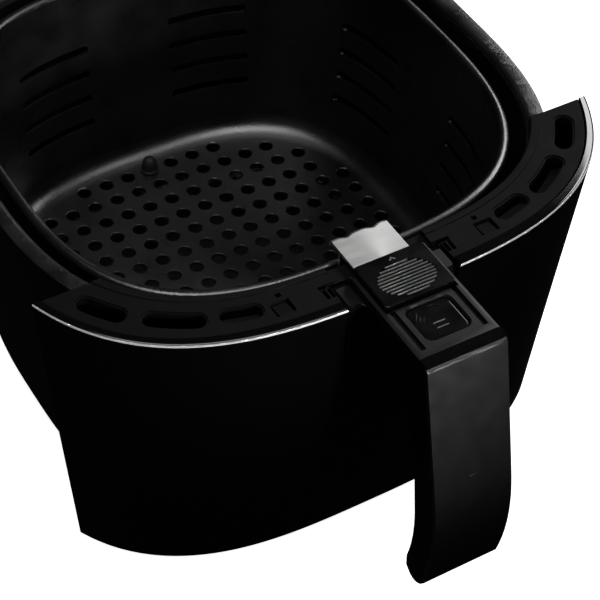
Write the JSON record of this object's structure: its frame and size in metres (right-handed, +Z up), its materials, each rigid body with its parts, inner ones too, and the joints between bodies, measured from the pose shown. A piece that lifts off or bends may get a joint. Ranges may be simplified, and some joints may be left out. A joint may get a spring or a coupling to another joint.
{
  "type": "air fryer drawer",
  "caption": "Air fryer drawer: outer pan with a curved front panel, and a lift-out perforated basket on a handle with a sliding guard over a sprung release button.",
  "frame": {"origin": "centre of the pan's flat underside, below the middle of the basket", "axes": "+Z up, -Y towards the handle, +X to the right of someone facing the back of the drawer"},
  "size_m": [0.2966, 0.3642, 0.1771],
  "materials": {
    "nonstick": "fine-grained satin non-stick coating",
    "gloss_black": "high gloss",
    "matte_black": "fine moulded texture",
    "satin_black": "satin",
    "steel": "brushed",
    "silicone": "matte"
  },
  "bodies": {
    "pan": {"outer_pan": "nonstick", "front_panel": "gloss_black", "top_trim": "matte_black", "latch_keeper": "steel", "trim_screw_1": "steel", "trim_screw_2": "steel", "trim_screw_3": "steel", "trim_screw_4": "steel", "keeper_screw_left": "steel", "keeper_screw_right": "steel", "panel_bracket_left": "steel", "panel_bracket_right": "steel", "panel_screw_left": "steel", "panel_screw_right": "steel"},
    "basket": {"basket": "nonstick", "bumper_front": "silicone", "bumper_rear": "silicone", "basket_bracket": "steel", "bracket_rivet_left": "steel", "bracket_rivet_right": "steel", "bracket_screw_left": "steel", "bracket_screw_right": "steel", "handle_shell": "gloss_black", "handle_front_cover": "satin_black", "handle_bezel": "satin_black", "grip_screw_upper": "steel", "grip_screw_lower": "steel", "button_spring": "steel", "latch_pin": "steel"},
    "guard": {"slide_cover": "matte_black"},
    "button": {"release_button": "gloss_black"},
    "latch": {"latch_lever": "matte_black"}
  },
  "joints": [
    {"name": "basket_lift", "type": "slide", "parent": "pan", "child": "basket", "axis": [0, 0, 1], "range_m": [0, 0.16]},
    {"name": "guard_slide", "type": "slide", "parent": "basket", "child": "guard", "axis": [0, -1, 0], "range_m": [0, 0.0275]},
    {"name": "button_press", "type": "slide", "parent": "basket", "child": "button", "axis": [0, 0, -1], "range_m": [0, 0.004], "stiffness_N_per_m": 400, "springref_m": -0.002, "deforming": ["button_spring"]},
    {"name": "latch_turn", "type": "hinge", "parent": "basket", "child": "latch", "pos_m": [0, -0.147, 0.158], "axis": [1, 0, 0], "range_deg": [0, 8]}
  ],
  "couplings": [
    {"joint": "latch_turn", "follows": "button_press", "rad_per_m": 34.4}
  ]
}
